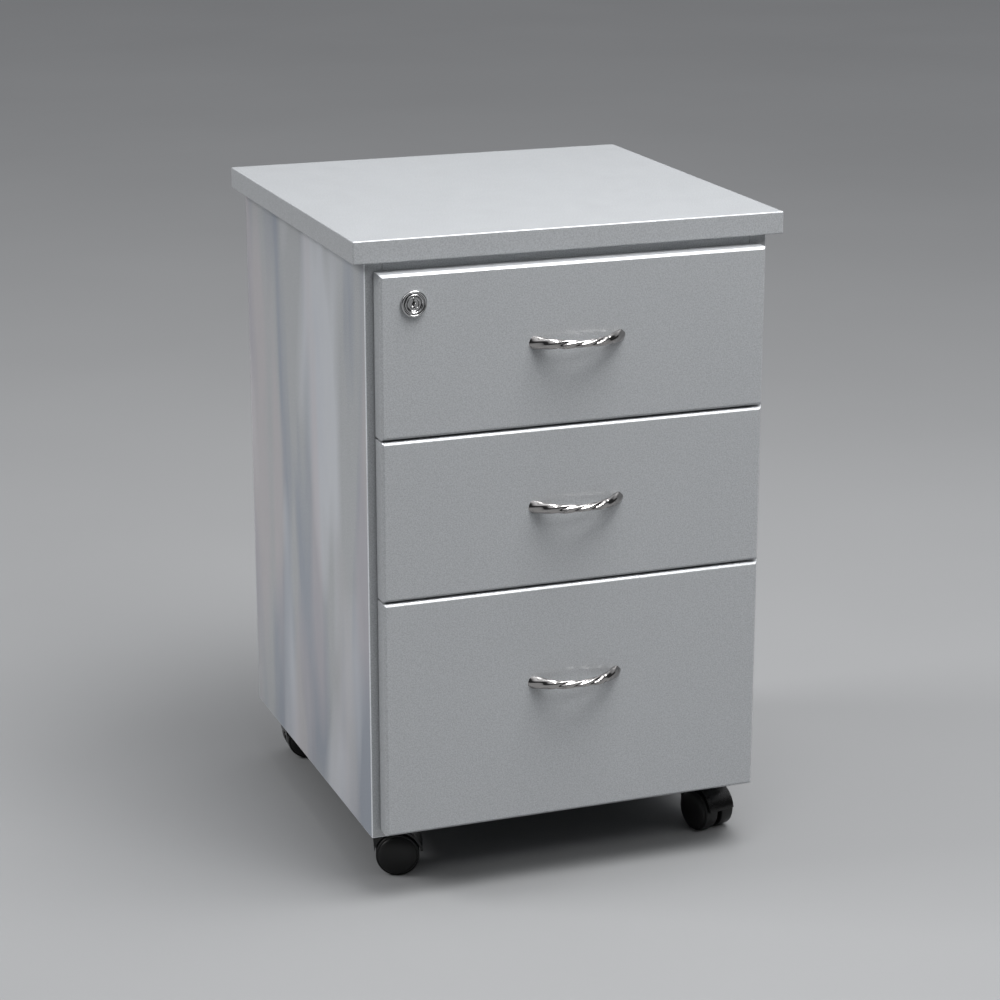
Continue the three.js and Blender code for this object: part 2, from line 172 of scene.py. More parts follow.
def painted_reflections(finish, base, strength):
    """base with painted reflections: long soft smears of the surroundings up the board, dark blue ones,
    pale ones and a faint blush.
    """
    # Masks of the painted reflections: where the dark blue, pale and blush smears go
    blue = finish.noise(15, detail=2, rough=0.4, warp=0.5, stretch=(1, 1, 0.2), turn=(0.25, 0, 0))
    pale = finish.noise(
        10,
        detail=2,
        rough=0.4,
        warp=0.6,
        stretch=(1, 1, 0.25),
        shift=(9, 4, 1),
        turn=(-0.45, 0, 0),
    )
    blush = finish.noise(
        13,
        detail=1,
        warp=0.4,
        stretch=(1, 1, 0.2),
        shift=(4, 7, 2),
        turn=(0.15, 0, 0),
    )
    base = finish.mixed(finish.spread(blue, 0, strength, 0.44, 0.60), base, PAINTED_REFLECTION_BLUE)
    base = finish.mixed(finish.spread(pale, 0, strength, 0.50, 0.64), base, PAINTED_REFLECTION_PALE)
    return finish.mixed(finish.spread(blush, 0, 0.6 * strength, 0.52, 0.68), base, PAINTED_REFLECTION_BLUSH)


def silver_board(name, reflection_streaks=0.0, highlight_lift=0.0):
    """Satin silver melamine: fine speckle, faint clouds, a thin clear top film. The second argument is
    how strongly long soft painted reflections run up the board, and the third how much paler it is than
    a board's flat, for a painted highlight."""
    finish = Finish(name, Metallic=0.25, Coat_Weight=0.55, Coat_Roughness=0.12, Coat_IOR=1.5)
    speckle = finish.noise(850, detail=2, rough=0.7)
    cloud = finish.noise(5, detail=4, rough=0.55, shift=(3, 1, 2))
    # The last argument above 0 makes a paler copy of the silver, which paints a highlight on edges
    darker = grey(0.345 + highlight_lift, SILVER_COOL)
    paler = grey(0.47 + highlight_lift, SILVER_COOL)
    base = finish.mixed(finish.spread(speckle, 0, 1), darker, paler)
    base = finish.mixed(finish.spread(cloud, 0, 0.06), base, grey(0.33, SILVER_COOL - 0.01))
    if reflection_streaks:
        base = painted_reflections(finish, base, reflection_streaks)
    finish.colour(base)
    scuff = finish.noise(60, detail=5, rough=0.6, stretch=(1, 1, 0.4), shift=(5, 5, 5))
    finish.roughness(finish.spread(scuff, 0.43, 0.48))
    grain = finish.noise(1100, detail=2)
    swell = finish.noise(24, detail=2)
    finish.bump((swell, 0.03, 0.0003), (grain, 0.14, 0.00015))
    return finish.material


def drawer_board():
    """Light grey foil over particle board, with a faint linear grain along the board."""
    finish = Finish("drawer_box_foil", Metallic=0.0, Specular_IOR_Level=0.4)
    grain = finish.noise(160, detail=6, rough=0.65, stretch=(1, 0.06, 1))
    fleck = finish.noise(700, detail=2, shift=(2, 2, 2))
    base = finish.mixed(finish.spread(grain, 0, 1), grey(0.27, 0.01), grey(0.34, 0.01))
    finish.colour(finish.mixed(finish.spread(fleck, 0, 0.2), base, grey(0.22)))
    finish.roughness(finish.spread(grain, 0.5, 0.66))
    finish.bump((grain, 0.18, 0.0002), (fleck, 0.08, 0.0001))
    return finish.material


def chrome(name, tone, wear):
    """Polished chrome with hairline polishing marks and a slight haze that gathers in clouds."""
    finish = Finish(name, Metallic=1.0)
    haze = finish.noise(90, detail=4, rough=0.6)
    lines = finish.noise(2400, detail=2, stretch=(0.05, 1, 1))
    hazed = tuple(0.88 * part for part in tone[:3]) + (1,)
    finish.colour(finish.mixed(finish.spread(haze, 0, 0.5), tone, hazed))
    clouded = finish.spread(haze, 0.03, 0.03 + wear)
    finish.roughness(finish.total(clouded, finish.spread(lines, 0, 0.03)))
    finish.bump((finish.noise(140, detail=1), 0.05, 0.0004), (lines, 0.03, 0.00005))
    return finish.material


def zinc(name, along):
    """Zinc-plated sheet: brushed along one axis, with a dull bluish cast and darker spots."""
    finish = Finish(name, Metallic=1.0)
    stretch = [1.0, 1.0, 1.0]
    stretch[along] = 0.02
    brush = finish.noise(900, detail=3, stretch=stretch)
    spots = finish.noise(70, detail=5, rough=0.65, shift=(1, 7, 3))
    base = finish.mixed(finish.spread(brush, 0, 1), (0.47, 0.48, 0.50, 1), (0.63, 0.64, 0.65, 1))
    finish.colour(finish.mixed(finish.spread(spots, 0, 0.4, 0.5, 0.75), base, (0.33, 0.33, 0.34, 1)))
    finish.roughness(finish.total(finish.spread(spots, 0.26, 0.42), finish.spread(brush, -0.04, 0.06)))
    finish.bump((brush, 0.12, 0.00008))
    return finish.material


def black_nylon(name, level, rough):
    """Black moulded nylon: spark-eroded texture, a dusty bloom and faint flow marks."""
    finish = Finish(name, Metallic=0.0, Specular_IOR_Level=0.38)
    dust = finish.noise(45, detail=5, rough=0.6)
    texture = finish.noise(1700, detail=2, rough=0.6)
    dusty = grey(level * 2.6, 0.03)
    finish.colour(finish.mixed(finish.spread(dust, 0, 0.6, 0.45, 0.8), grey(level), dusty))
    dulled = finish.spread(dust, rough - 0.05, rough + 0.1)
    finish.roughness(finish.total(dulled, finish.spread(texture, -0.03, 0.03)))
    finish.bump((finish.noise(30, detail=2), 0.05, 0.0004), (texture, 0.2, 0.00008))
    return finish.material


def floor_finish():
    """Plain pale backdrop paper, with faint clouds."""
    finish = Finish("studio_floor", Roughness=0.75, Specular_IOR_Level=0.2)
    cloud = finish.noise(1.1, detail=3)
    tooth = finish.noise(420, detail=2)
    factor = finish.spread(cloud, 0, 1, 0.3, 0.7)
    finish.colour(finish.mixed(factor, grey(0.21, -0.012), grey(0.222, -0.012)))
    finish.bump((tooth, 0.05, 0.0003))
    return finish.material


SILVER = silver_board("silver_melamine")
# A paler copy of the silver: a painted highlight for the side panels' outer arrises
SILVER_PAINTED_HIGHLIGHT = silver_board("silver_edge_painted_highlight", highlight_lift=0.4)
# The side panels' silver, with painted reflections up the boards
SILVER_SIDE_PAINTED_REFLECTIONS = silver_board("silver_melamine_side_painted_reflections", reflection_streaks=0.7)
BOX_FOIL = drawer_board()
HANDLE_CHROME = chrome("handle_polished_chrome", (0.41, 0.395, 0.385, 1), wear=0.02)
LOCK_CHROME = chrome("lock_polished_chrome", (0.55, 0.55, 0.55, 1), wear=0.02)
SLIDE_ZINC = zinc("slide_zinc", along=1)
BAR_ZINC = zinc("lock_bar_zinc", along=2)
CASTER_STEEL = zinc("caster_zinc", along=0)
HOOD_NYLON = black_nylon("hood_black_nylon", 0.005, 0.24)
WHEEL_NYLON = black_nylon("wheel_black_nylon", 0.004, 0.42)


# ---------------------------------------------------------------- shapes


def finished(name, bm, material, sharp_degrees=32.0):
    """A new object from bm, smooth except over edges sharper than sharp_degrees."""
    bmesh.ops.remove_doubles(bm, verts=bm.verts, dist=1e-6)
    bmesh.ops.recalc_face_normals(bm, faces=bm.faces)
    mesh = bpy.data.meshes.new(name)
    bm.to_mesh(mesh)
    bm.free()
    mesh.shade_smooth()
    mesh.set_sharp_from_angle(angle=math.radians(sharp_degrees))
    mesh.materials.append(material)
    made = bpy.data.objects.new(name, mesh)
    bpy.context.scene.collection.objects.link(made)
    return made


def rounded(obj, width, segments=3, degrees=30.0):
    made = obj.modifiers.new("edges", "BEVEL")
    made.width = width
    made.segments = segments
    made.limit_method = "ANGLE"
    made.angle_limit = math.radians(degrees)
    made.harden_normals = True
    return obj


def settle(obj):
    """Applies obj's modifiers to its mesh."""
    graph = bpy.context.evaluated_depsgraph_get()
    mesh = bpy.data.meshes.new_from_object(obj.evaluated_get(graph))
    obj.modifiers.clear()
    obj.data = mesh
    return obj


def carved(obj, *tools):
    for tool in tools:
        made = obj.modifiers.new("cut", "BOOLEAN")
        made.operation = "DIFFERENCE"
        made.solver = "EXACT"
        made.object = tool
    settle(obj)
    for tool in tools:
        bpy.data.objects.remove(tool, do_unlink=True)
    return obj


def lathe_mesh(profile, segments=64):
    """A bmesh turned about +Z from (radius, height) pairs; a radius of 0 closes at the axis."""
    bm = bmesh.new()
    rings = []
    for radius, height in profile:
        if radius == 0:
            rings.append([bm.verts.new((0, 0, height))] * segments)
            continue
        ring = []
        for step in range(segments):
            angle = 2 * math.pi * step / segments
            ring.append(bm.verts.new((radius * math.cos(angle), radius * math.sin(angle), height)))
        rings.append(ring)
    for lower, upper in zip(rings, rings[1:]):
        for step in range(segments):
            after = (step + 1) % segments
            loop = []
            for vert in (lower[step], lower[after], upper[after], upper[step]):
                if vert not in loop:
                    loop.append(vert)
            if len(loop) > 2:
                bm.faces.new(loop)
    return bm


def arc(centre, radius, start, end, steps):
    """Points on a circle, from start to end in degrees."""
    points = []
    for step in range(steps + 1):
        angle = math.radians(start + (end - start) * step / steps)
        points.append((centre[0] + radius * math.cos(angle), centre[1] + radius * math.sin(angle)))
    return points


def prism_mesh(outline, start, end, axis="y"):
    """A bmesh of an outline, standing from start to end along axis. The outline is in x and z for
    axis y, and in x and y for axis z."""
    spots = {"y": lambda a, b, t: (a, t, b), "z": lambda a, b, t: (a, b, t)}
    bm = bmesh.new()
    near = [bm.verts.new(spots[axis](a, b, start)) for a, b in outline]
    far = [bm.verts.new(spots[axis](a, b, end)) for a, b in outline]
    bm.faces.new(near)
    bm.faces.new(far[::-1])
    for index in range(len(outline)):
        after = (index + 1) % len(outline)
        bm.faces.new((near[index], far[index], far[after], near[after]))
    return bm


def box_mesh(low, high):
    outline = [(low[0], low[2]), (high[0], low[2]), (high[0], high[2]), (low[0], high[2])]
    return prism_mesh(outline, low[1], high[1])


def put(obj, matrix):
    """Moves the mesh itself, so that the object's own origin stays at the frame's."""
    obj.data.transform(matrix)
    obj.data.update()
    return obj


def towards(axis, point):
    """The matrix that takes a piece drawn about +Z at the origin to point, along axis."""
    turn = Vector((0, 0, 1)).rotation_difference(Vector(axis)).to_matrix().to_4x4()
    return Matrix.Translation(point) @ turn


def joined_mesh(*meshes):
    whole = bmesh.new()
    for bm in meshes:
        spare = bpy.data.meshes.new("spare")
        bm.to_mesh(spare)
        bm.free()
        whole.from_mesh(spare)
        bpy.data.meshes.remove(spare)
    return whole


def place(obj, body, slot, *nodes):
    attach(obj, body)
    if nodes:
        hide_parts(*nodes)
    return obj


def refinish(node, material, edge=0.0):
    """Gives a CAD node that stays a finish and softened edges."""
    obj = frame["nodes"][node]
    obj.data.materials.clear()
    obj.data.materials.append(material)
    weld = obj.modifiers.new("weld", "WELD")
    weld.merge_threshold = 0.01 * MM
    if edge:
        rounded(obj, edge, 2)
    return obj


# ---------------------------------------------------------------- boards


TOP_ROUNDING = 1.3 * MM
BOARD_ROUNDING = 0.5 * MM
SIDE_ROUNDING = 0.9 * MM
BOX_ROUNDING = 0.8 * MM
FRONT_ROLL = 2.2 * MM
FRONT_ROUNDING = 0.5 * MM
LOCK_HOLE_RADIUS = 9.3 * MM
BAND_SLOT = 1
# The slot of the paler silver that paints a highlight along the side panels' outer arrises
PAINTED_HIGHLIGHT_SLOT = 2


def board(node, body, slot, material, edge):
    """A board in place of a CAD one, with softened edges."""
    made = finished(f"{node}_sheet", box_mesh(*corners(node)), material)
    rounded(made, edge)
    return place(settle(made), body, slot, node)


def banded(panel):
    """Covers the narrow edges of a side panel with the plain board's edge band, and softens them. The
    outer arrises get a paler copy of the silver, a painted highlight."""
    panel.data.materials.append(SILVER)
    panel.data.materials.append(SILVER_PAINTED_HIGHLIGHT)
    for face in panel.data.polygons:
        if abs(face.normal.x) < 0.5:
            face.material_index = BAND_SLOT
    rounded(panel, SIDE_ROUNDING)
    # The bevel's faces get the paler silver, a painted highlight along the arrises
    panel.modifiers["edges"].material = PAINTED_HIGHLIGHT_SLOT
    settle(panel)
    outward = math.copysign(1, panel.data.vertices[0].co.x)
    for face in panel.data.polygons:
        if face.material_index == PAINTED_HIGHLIGHT_SLOT and face.normal.x * outward < 0:
            face.material_index = BAND_SLOT
    return panel


def side_panel_left():
    """The left side panel, with the upright groove that the lock bar lies in."""
    low, high = corners("side_panel_left")
    bar_low, bar_high = corners("lock_bar")
    groove_wall = bar_low.x - 0.5 * MM
    front = bar_low.y - 0.25 * MM
    back = bar_high.y + 0.25 * MM
    outline = [
        (low.x, low.y),
        (high.x, low.y),
        (high.x, front),
        (groove_wall, front),
        (groove_wall, back),
        (high.x, back),
        (high.x, high.y),
        (low.x, high.y),
    ]
    panel_mesh = prism_mesh(outline, low.z, high.z, "z")
    made = finished("side_panel_left_sheet", panel_mesh, SILVER_SIDE_PAINTED_REFLECTIONS)
    place(banded(made), "carcass", "cabinet_board", "side_panel_left")


def side_panel_right():
    panel_mesh = box_mesh(*corners("side_panel_right"))
    made = finished("side_panel_right_sheet", panel_mesh, SILVER_SIDE_PAINTED_REFLECTIONS)
    place(banded(made), "carcass", "cabinet_board", "side_panel_right")


def drawer_front(name):
    """A slab whose front edges are rolled over; the top one is drilled for the lock."""
    node = f"{name}_drawer_front"
    low, high = corners(node)
    bm = box_mesh(low, high)
    rolled = [e for e in bm.edges if all(abs(v.co.y - low.y) < 1e-6 for v in e.verts)]
    bmesh.ops.bevel(bm, geom=rolled, offset=FRONT_ROLL, segments=1, affect="EDGES")
    made = finished(f"{node}_slab", bm, SILVER)
    if name == "top":
        past = 50 * MM
        bore = [(0, -past), (LOCK_HOLE_RADIUS, -past), (LOCK_HOLE_RADIUS, past), (0, past)]
        tool = finished("drill", lathe_mesh(bore, 48), SILVER)
        carved(made, put(tool, towards((0, -1, 0), middle("lock_housing"))))
    rounded(made, FRONT_ROUNDING, 3)
    place(settle(made), f"{name}_drawer", "cabinet_board", node)


def carcass():
    board("top_board", "carcass", "cabinet_board", SILVER, TOP_ROUNDING)
    side_panel_left()
    side_panel_right()
    for node in ("back_panel", "bottom_board", "front_rail"):
        board(node, "carcass", "cabinet_board", SILVER, BOARD_ROUNDING)


def drawer(name):
    drawer_front(name)
    for piece in ("side_left", "side_right", "back", "bottom"):
        node = f"{name}_drawer_{piece}"
        board(node, f"{name}_drawer", "drawer_box_board", BOX_FOIL, BOX_ROUNDING)


carcass()
for drawer_name in DRAWERS:
    drawer(drawer_name)


# ---------------------------------------------------------------- handles


# Half the height and half the depth of the bow's oval section, at its middle and at its feet
GRIP_UP = 2.75 * MM
GRIP_OUT = 3 * MM
FOOT_OUT = 4.25 * MM
FLARE_POWER = 1.3
FOOT_INSET = 1.3 * FOOT_OUT

# Twisted strands: how many go round, the length of bow for a full turn of the pattern, and how proud
# they are of the section on the grip and on the feet, as a share of it
STRANDS = 5
STRAND_PITCH = 13 * MM
GRIP_STRAND = 0.13
FOOT_STRAND = 0.04

# Along the bow, as shares of half its length: where the strands fade and where the neck is
FADE_START = 0.42
FADE_END = 0.52
NECK_AT = 0.53
NECK_WIDTH = 0.02
NECK_DEPTH = 0.10

# The bow is drawn a little too long and then cut off flat at the drawer front
OVERRUN = 1.12
BOW_RINGS = 144
BOW_SIDES = 40


def smooth_step(value, start, end):
    share = min(max((value - start) / (end - start), 0), 1)
    return share * share * (3 - 2 * share)


def bow_ring(bm, along, radius, bow, half_span, foot_up):
    """One ring of the bow's vertices; along runs from -1 at one foot to 1 at the other."""
    reach = abs(along)
    taper = reach**FLARE_POWER
    up = GRIP_UP + (foot_up - GRIP_UP) * taper
    out = GRIP_OUT + (FOOT_OUT - GRIP_OUT) * taper
    faded = smooth_step(reach, FADE_START, FADE_END)
    strand = GRIP_STRAND + (FOOT_STRAND - GRIP_STRAND) * faded
    neck = 1 - NECK_DEPTH * math.exp(-(((reach - NECK_AT) / NECK_WIDTH) ** 2))
    twist = 2 * math.pi * along * half_span / STRAND_PITCH
    angle = along * math.asin(half_span / radius)
    ring = []
    for side in range(BOW_SIDES):
        round_angle = 2 * math.pi * side / BOW_SIDES
        swell = neck * (1 + strand * math.cos(STRANDS * round_angle - twist))
        from_centre = radius + out * math.cos(round_angle) * swell
        x = from_centre * math.sin(angle)
        y = radius - bow - from_centre * math.cos(angle)
        ring.append(bm.verts.new((x, y, up * math.sin(round_angle) * swell)))
    return ring


def bow_handle(name):
    """A cast bow: flared feet, a neck where each foot ends, and a grip like a twisted rope."""
    node = f"{name}_drawer_handle"
    low, high = corners(node)
    bow = high.y - low.y - (1 + GRIP_STRAND) * GRIP_OUT
    half_span = (high.x - low.x) / 2 - FOOT_INSET
    radius = (half_span**2 + bow**2) / (2 * bow)
    bm = bmesh.new()
    rings = []
    for step in range(BOW_RINGS + 1):
        along = OVERRUN * (2 * step / BOW_RINGS - 1)
        rings.append(bow_ring(bm, along, radius, bow, half_span, (high.z - low.z) / 2))
    for here, beyond in zip(rings, rings[1:]):
        for side in range(BOW_SIDES):
            after = (side + 1) % BOW_SIDES
            bm.faces.new((here[side], here[after], beyond[after], beyond[side]))
    bm.faces.new(rings[0])
    bm.faces.new(rings[-1][::-1])
    everything = bm.verts[:] + bm.edges[:] + bm.faces[:]
    cut = bmesh.ops.bisect_plane(
        bm, geom=everything, plane_co=(0, 0, 0), plane_no=(0, 1, 0), clear_outer=True
    )
    edges = [e for e in cut["geom_cut"] if isinstance(e, bmesh.types.BMEdge)]
    bmesh.ops.holes_fill(bm, edges=edges)
    made = finished(f"{name}_handle_bow", bm, HANDLE_CHROME, 40)
    centre = Vector(((low.x + high.x) / 2, high.y, (low.z + high.z) / 2))
    put(made, Matrix.Translation(centre))
    place(made, f"{name}_drawer", "handle_chrome", node)


for drawer_name in DRAWERS:
    bow_handle(drawer_name)


# ---------------------------------------------------------------- lock


# In millimetres, about the lock's axis from the face of the drawer front: the bezel with its two
# rounded rings, and the plug with the dished face and the tail that carries the cam
BARREL_BACK = -21
BARREL_RADIUS = 9.0
BORE_RADIUS = 6.6
BEZEL_RADIUS = 11.5
PLUG_RADIUS = 6.5
PLUG_BACK = -21.3
TAIL_RADIUS = 3.5
TAIL_BACK = -25.3

# The key slot and the notches on its two sides: lowest and highest corners of what is cut from the plug
KEY_WAYS = (
    ((-0.8, -4.0, -4.1), (0.8, 4.0, 4.0)),
    ((-0.3, 0.4, -4.1), (1.5, 1.6, 4.0)),
    ((-1.5, -2.2, -4.1), (0.3, -1.0, 4.0)),
)


def in_millimetres(points):
    return [tuple(part * MM for part in point) for point in points]


def lock_bezel(outward):
    profile = [(BORE_RADIUS, BARREL_BACK), (6.65, 1.2), (7.0, 2.3)]
    profile += arc((7.8, 2.3), 0.7, 160, 20, 6)
    profile += [(8.75, 1.0), (9.35, 1.0)]
    profile += arc((10.4, 1.9), 1.1, 165, 10, 9)
    profile += [(BEZEL_RADIUS, 0.0), (BARREL_RADIUS, 0.0)]
    profile += [(BARREL_RADIUS, BARREL_BACK), (BORE_RADIUS, BARREL_BACK)]
    bezel = finished("lock_bezel", lathe_mesh(in_millimetres(profile), 96), LOCK_CHROME, 38)
    put(bezel, outward)
    place(bezel, "top_drawer", "lock_chrome", "lock_housing")


def lock_plug(outward):
    profile = [(0, 0.9), (3.9, 0.9), (4.5, 1.9), (5.7, 1.9), (PLUG_RADIUS, 1.3)]
    profile += [(PLUG_RADIUS, PLUG_BACK), (TAIL_RADIUS, PLUG_BACK)]
    profile += [(TAIL_RADIUS, TAIL_BACK), (0, TAIL_BACK)]
    plug_mesh = lathe_mesh(in_millimetres(profile), 64)
    plug = finished("lock_plug_turned", plug_mesh, LOCK_CHROME, 30)
    tools = []
    for way in KEY_WAYS:
        tools.append(finished("key_way", box_mesh(*in_millimetres(way)), LOCK_CHROME))
    carved(plug, *tools)
    put(plug, outward)
    place(plug, "lock_plug", "lock_chrome", "lock_plug")


def lock():
    pin = JOINTS["lock_turn"]["pos_m"]
    face = corners("top_drawer_front")[0].y
    outward = towards((0, -1, 0), Vector((pin[0], face, pin[2])))
    lock_bezel(outward)
    lock_plug(outward)
    refinish("lock_cam", BAR_ZINC, 0.25 * MM)
    refinish("lock_bar", BAR_ZINC, 0.3 * MM)


lock()


# ---------------------------------------------------------------- slides and screws


SLIDE_SHEET = 1.25 * MM
OUTER_ROUNDING = 0.4 * MM
INNER_ROUNDING = 0.3 * MM
INNER_CHANNEL_HALF = 14.5 * MM
CAGE_START = 12 * MM
CAGE_LENGTH = 150 * MM
CAGE_HALF_WIDTH = 2.2 * MM
CAGE_HALF_SHEET = 0.25 * MM
CAGE_FROM_LIP = 3.2 * MM
BALL_RADIUS = 0.8 * MM
BALL_CLEARANCE = 0.1 * MM
BALLS_IN_A_ROW = 12


def channel_mesh(node, open_to):
    """A slide channel whose web is on the side away from open_to, which is +1 or -1 along x."""
    low, high = corners(node)
    web, lip = (low.x, high.x) if open_to > 0 else (high.x, low.x)
    inner = web + open_to * SLIDE_SHEET
    outline = [
        (web, low.z),
        (lip, low.z),
        (lip, low.z + SLIDE_SHEET),
        (inner, low.z + SLIDE_SHEET),
        (inner, high.z - SLIDE_SHEET),
        (lip, high.z - SLIDE_SHEET),
        (lip, high.z),
        (web, high.z),
    ]
    return prism_mesh(outline, low.y, high.y)


def slides(name):
    for side, outside in zip(SIDES, (-1, 1)):
        outer_node = f"{name}_cabinet_slide_{side}"
        channel = channel_mesh(outer_node, -outside)
        outer = finished(f"{outer_node}_channel", channel, SLIDE_ZINC)
        rounded(outer, OUTER_ROUNDING, 2)
        place(settle(outer), "carcass", "slide_steel", outer_node)
        refinish(f"{name}_drawer_slide_{side}", SLIDE_ZINC, INNER_ROUNDING)
        ball_cage(name, side, outside)


def ball_cage(name, side, outside):
    """The strips that space the balls, above and below the inner channel, each with its row of balls."""
    low, high = corners(f"{name}_cabinet_slide_{side}")
    lip = low.x if outside > 0 else high.x
    centre_x = lip + outside * CAGE_FROM_LIP
    start = low.y + CAGE_START
    pieces = []
    for up in (-1, 1):
        z = (low.z + high.z) / 2 + up * (INNER_CHANNEL_HALF + BALL_RADIUS + BALL_CLEARANCE)
        strip_low = (centre_x - CAGE_HALF_WIDTH, start, z - CAGE_HALF_SHEET)
        strip_high = (centre_x + CAGE_HALF_WIDTH, start + CAGE_LENGTH, z + CAGE_HALF_SHEET)
        pieces.append(box_mesh(strip_low, strip_high))
        for index in range(BALLS_IN_A_ROW):
            bm = bmesh.new()
            bmesh.ops.create_uvsphere(bm, u_segments=14, v_segments=9, radius=BALL_RADIUS)
            y = start + (index + 0.5) * CAGE_LENGTH / BALLS_IN_A_ROW
            bmesh.ops.translate(bm, vec=Vector((centre_x, y, z)), verts=bm.verts)
            pieces.append(bm)
    made = finished(f"{name}_ball_cage_{side}", joined_mesh(*pieces), CASTER_STEEL, 40)
    place(made, "carcass", "slide_steel")


for drawer_name in DRAWERS:
    slides(drawer_name)


# Radii of the screw heads, and of the one that all are scaled from
HEAD_RADIUS = 3.5 * MM
HANDLE_SCREW_HEAD = 4 * MM
SLIDE_SCREW_HEAD = 3 * MM
PLATE_SCREW_HEAD = 2.6 * MM

# The handle's screws, from its middle; the slides' screws, from a channel's front and back ends
HANDLE_SCREW_AT = 38.5 * MM
DRAWER_SCREWS_FROM_FRONT = (18 * MM, 160 * MM)
DRAWER_SCREW_FROM_BACK = 20 * MM
CABINET_SCREWS_FROM_FRONT = (55 * MM, 200 * MM)
CABINET_SCREW_FROM_BACK = 30 * MM


def screw_head(radius):
    """A pan head about +Z, standing on z = 0, with a cross recess."""
    rise = 0.55 * radius
    wall = 0.35 * rise
    points = [(0, 0), (radius, 0), (radius, wall)]
    for angle in (math.radians(degrees) for degrees in range(15, 90, 15)):
        points.append((radius * math.cos(angle), wall + (rise - wall) * math.sin(angle)))
    points.append((0, rise))
    head = finished("screw_head", lathe_mesh(points, 28), CASTER_STEEL, 45)
    half = 0.55 * radius
    thin = 0.14 * radius
    floor = 0.4 * rise
    bars = [
        box_mesh((-half, -thin, floor), (half, thin, 2 * rise)),
        box_mesh((-thin, -half, floor), (thin, half, 2 * rise)),
    ]
    return carved(head, *(finished("driver", bar, CASTER_STEEL) for bar in bars))


HEAD = screw_head(HEAD_RADIUS)


def screws(name, body, slot, heads):
    """One piece of many screw heads; heads are (axis, point, radius)."""
    whole = bmesh.new()
    for axis, point, radius in heads:
        part = HEAD.data.copy()
        part.transform(towards(axis, Vector(point)) @ Matrix.Scale(radius / HEAD_RADIUS, 4))
        whole.from_mesh(part)
        bpy.data.meshes.remove(part)
    place(finished(name, whole, CASTER_STEEL, 40), body, slot)


def drawer_screws(name):
    """The handle's screws, behind the front, and those that hold the slides to the box."""
    handle_z = middle(f"{name}_drawer_handle").z
    front_back = corners(f"{name}_drawer_front")[1].y
    heads = []
    for x in (-HANDLE_SCREW_AT, HANDLE_SCREW_AT):
        heads.append(((0, 1, 0), (x, front_back, handle_z), HANDLE_SCREW_HEAD))
    for side, outside in zip(SIDES, (-1, 1)):
        low, high = corners(f"{name}_drawer_slide_{side}")
        web = (high.x if outside < 0 else low.x) + outside * SLIDE_SHEET
        z = middle(f"{name}_cabinet_slide_{side}").z
        spots = [low.y + far for far in DRAWER_SCREWS_FROM_FRONT]
        for y in (*spots, high.y - DRAWER_SCREW_FROM_BACK):
            heads.append(((outside, 0, 0), (web, y, z), SLIDE_SCREW_HEAD))
    screws(f"{name}_drawer_screws", f"{name}_drawer", "slide_steel", heads)


def cabinet_slide_screws():
    heads = []
    for name in DRAWERS:
        for side, outside in zip(SIDES, (-1, 1)):
            low, high = corners(f"{name}_cabinet_slide_{side}")
            web = (high.x if outside > 0 else low.x) - outside * SLIDE_SHEET
            z = (low.z + high.z) / 2
            spots = [low.y + far for far in CABINET_SCREWS_FROM_FRONT]
            for y in (*spots, high.y - CABINET_SCREW_FROM_BACK):
                heads.append(((-outside, 0, 0), (web, y, z), SLIDE_SCREW_HEAD))
    screws("cabinet_slide_screws", "carcass", "slide_steel", heads)


for drawer_name in DRAWERS:
    drawer_screws(drawer_name)
cabinet_slide_screws()


# ---------------------------------------------------------------- casters


# The hood, about its axle: radii, the angles in degrees where its lips end and its round front meets
# the flat crown, how far the crown reaches past the kingpin, and the crown's roundings
HOOD_INSIDE = 21.2 * MM
HOOD_OUTSIDE = 23.4 * MM
HOOD_HALF_WIDTH = 14.25 * MM
HOOD_LIP = 8
HOOD_SHOULDER = 76
HOOD_CROWN = 9 * MM
CROWN_ROUNDING = 3 * MM
HOOD_CORNER = 5 * MM
WEB_RADIUS = 22.2 * MM
WEB_HALF = 2 * MM
AXLE_BOSS = 6.6 * MM
AXLE_RADIUS = 3 * MM
AXLE_HALF = 15 * MM
KING_RADIUS = 3.5 * MM
PLATE_RADIUS = 18 * MM
PLATE_SHEET = 2.5 * MM
PLATE_SCREW_CIRCLE = 13.5 * MM
PLATE_SCREW_SUNK = 1.1 * MM

# In millimetres: where a wheel's tread and dome end, from the caster's middle, and the dome's radius
TREAD_END = 15.5
DOME_END = 20.5
DOME_RADIUS = 18.1


def wheel_profile():
    """(radius, distance from the caster's middle) of one wheel: a blind hub, a tread with rounded edges,
    and a domed cover inside a fine groove."""
    dome_start = TREAD_END + 0.6
    points = [(0, 15.3), (3.1, 15.3), (3.1, 2.6), (7, 2.6), (7.6, 4.6), (15.4, 4.6), (16, 2.6)]
    points += arc((19.2, 3.4), 0.8, 270, 360, 4)
    points += arc((18.6, TREAD_END - 0.6), 1.4, 0, 100, 8)
    points += [(18.3, TREAD_END + 0.45), (DOME_RADIUS, dome_start)]
    steps = 18
    for step in range(1, steps):
        angle = math.radians(90 * step / steps)
        out = dome_start + (DOME_END - dome_start) * math.sin(angle)
        points.append((DOME_RADIUS * math.cos(angle) ** 0.9, out))
    points.append((0, DOME_END))
    return in_millimetres(points)


def hood_outline(trail, top):
    """Across the axle: a fender over the wheels that thickens into a corner about the kingpin."""
    outline = arc((0, 0), HOOD_INSIDE, 180 - HOOD_LIP, HOOD_LIP, 48)
    outline += arc((0, 0), HOOD_OUTSIDE, HOOD_LIP, HOOD_SHOULDER, 24)
    outline += arc((HOOD_CROWN - trail, top - CROWN_ROUNDING), CROWN_ROUNDING, 60, 90, 4)
    outline += arc((HOOD_CORNER - HOOD_OUTSIDE, top - HOOD_CORNER), HOOD_CORNER, 90, 180, 8)
    return outline


